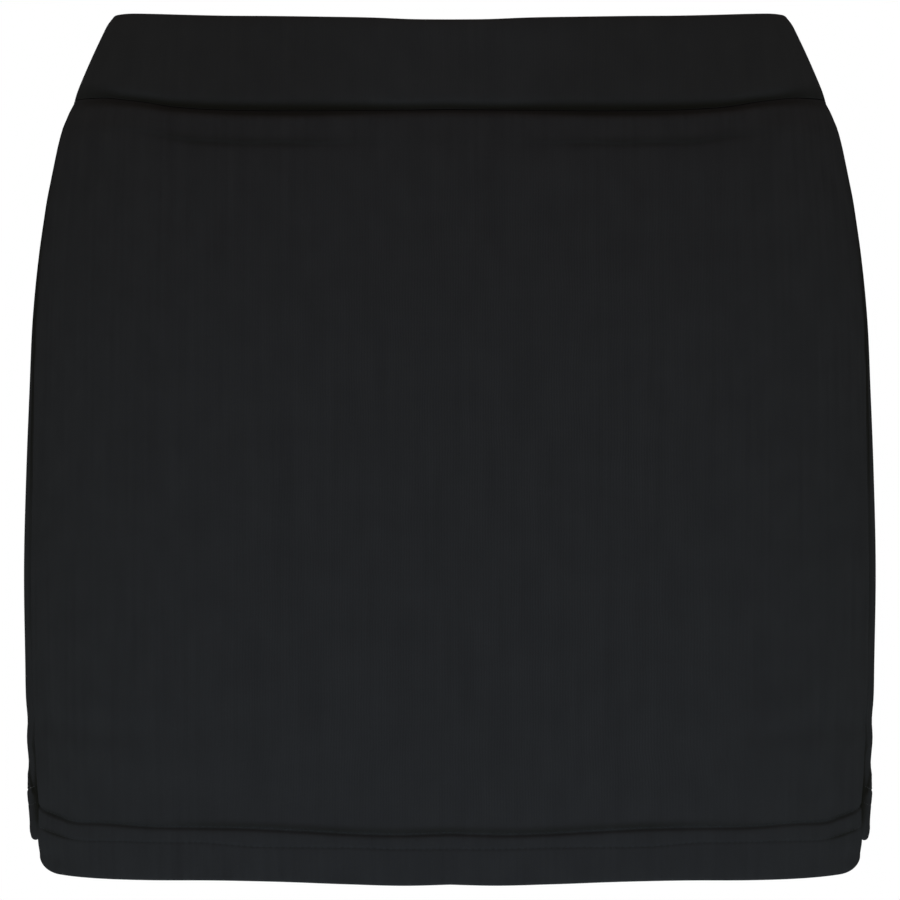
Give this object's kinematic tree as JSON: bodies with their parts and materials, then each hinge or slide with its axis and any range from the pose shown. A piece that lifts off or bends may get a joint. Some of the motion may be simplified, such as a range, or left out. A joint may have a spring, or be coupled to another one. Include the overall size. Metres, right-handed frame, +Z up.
{
  "type": "tennis skort",
  "caption": "Pull-on knitted tennis skort: wide waistband, close skirt with short side vents, and inner shorts, worn and hollow.",
  "frame": {"origin": "middle of the hollow inside the waistband, half way up the band at the side, where the wearer's waist holds it", "axes": "+Z up along the wearer's body, -Y the front, +X the wearer's left"},
  "size_m": [0.3902, 0.241, 0.3908],
  "materials": {
    "waistband_jersey": "matt black double knit, folded over",
    "skirt_jersey": "matt black fine jersey with faint vertical wales",
    "shorts_jersey": "matt black fine jersey"
  },
  "bodies": {
    "root": {"waistband_front": "waistband_jersey", "waistband_back": "waistband_jersey", "skirt_front": "skirt_jersey", "skirt_back": "skirt_jersey", "shorts_left": "shorts_jersey", "shorts_right": "shorts_jersey"}
  },
  "joints": []
}
